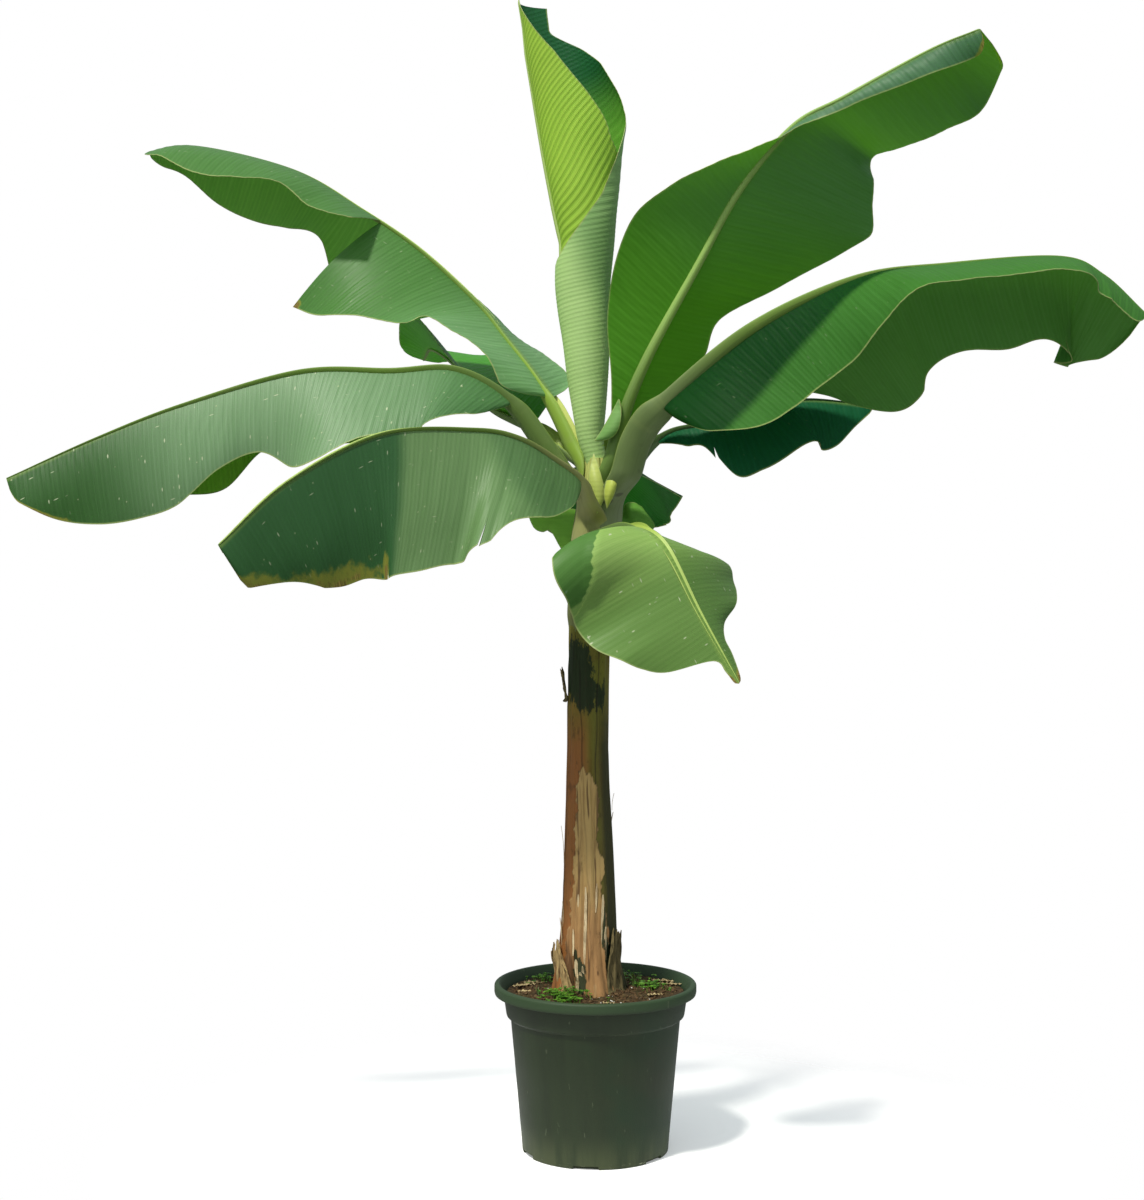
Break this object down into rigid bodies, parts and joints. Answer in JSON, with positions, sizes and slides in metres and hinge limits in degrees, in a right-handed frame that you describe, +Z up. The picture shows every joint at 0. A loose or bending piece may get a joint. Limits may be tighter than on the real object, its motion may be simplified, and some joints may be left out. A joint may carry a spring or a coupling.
{
  "type": "potted banana plant",
  "caption": "Young banana plant in a round nursery pot: a thick sheathed stem, broad arching leaves with split margins and one half-furled leaf upright in the middle.",
  "frame": {"origin": "centre of the pot's flat underside, on the floor", "axes": "+X to the plant's right as seen from its front, +Y away from the front, +Z up"},
  "size_m": [2.028, 1.1605, 2.14],
  "materials": {
    "pot": "dull dark green plastic, lighter at the lip",
    "potting_mix": "rough brown potting mix",
    "stem": "olive to brown sheaths with dark blotches",
    "dry_sheath": "dry torn tan sheath",
    "petiole": "smooth yellow green",
    "leaf": "leathery green with fine parallel veins"
  },
  "bodies": {
    "root": {"blade_b": "leaf", "blade_c_inner": "leaf", "blade_c_outer": "leaf", "blade_d": "leaf", "blade_e": "leaf", "blade_f": "leaf", "blade_g_inner": "leaf", "blade_g_outer": "leaf", "blade_h_inner": "leaf", "blade_h_outer": "leaf", "blade_i_inner": "leaf", "blade_i_outer": "leaf", "blade_j": "leaf", "blade_k": "leaf", "furled_leaf": "leaf", "petiole_b": "petiole", "petiole_c": "petiole", "petiole_d": "petiole", "petiole_e": "petiole", "petiole_f": "petiole", "petiole_g": "petiole", "petiole_h": "petiole", "petiole_i": "petiole", "petiole_j": "petiole", "petiole_k": "petiole", "pot": "pot", "pseudostem": "stem", "sheath_flap": "dry_sheath", "sheath_stump": "dry_sheath", "sheath_tag": "dry_sheath", "soil": "potting_mix"}
  },
  "joints": []
}
